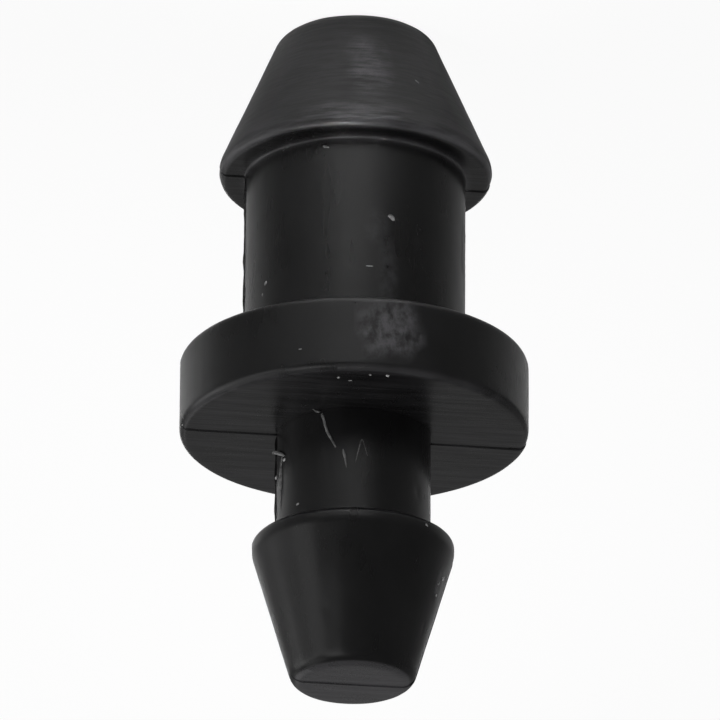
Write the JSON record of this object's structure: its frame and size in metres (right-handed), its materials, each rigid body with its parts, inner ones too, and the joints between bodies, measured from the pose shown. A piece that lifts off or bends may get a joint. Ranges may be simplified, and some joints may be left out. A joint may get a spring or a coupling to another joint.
{
  "type": "hole plug",
  "caption": "Round double-ended barbed hole plug for drip irrigation line, with a wide barb, a central flange and a narrow barb.",
  "frame": {"origin": "centre of the large end's flat tip, which the plug stands on", "axes": "+Z along the plug's axis from the large end to the small end; the mould halves meet in the plane Y = 0"},
  "size_m": [0.0092, 0.0092, 0.0183],
  "materials": {
    "black_polyethylene": "satin black polyethylene as it left the mould, with scuffs and a mould parting line"
  },
  "bodies": {
    "root": {"plug_body": "black_polyethylene"}
  },
  "joints": []
}
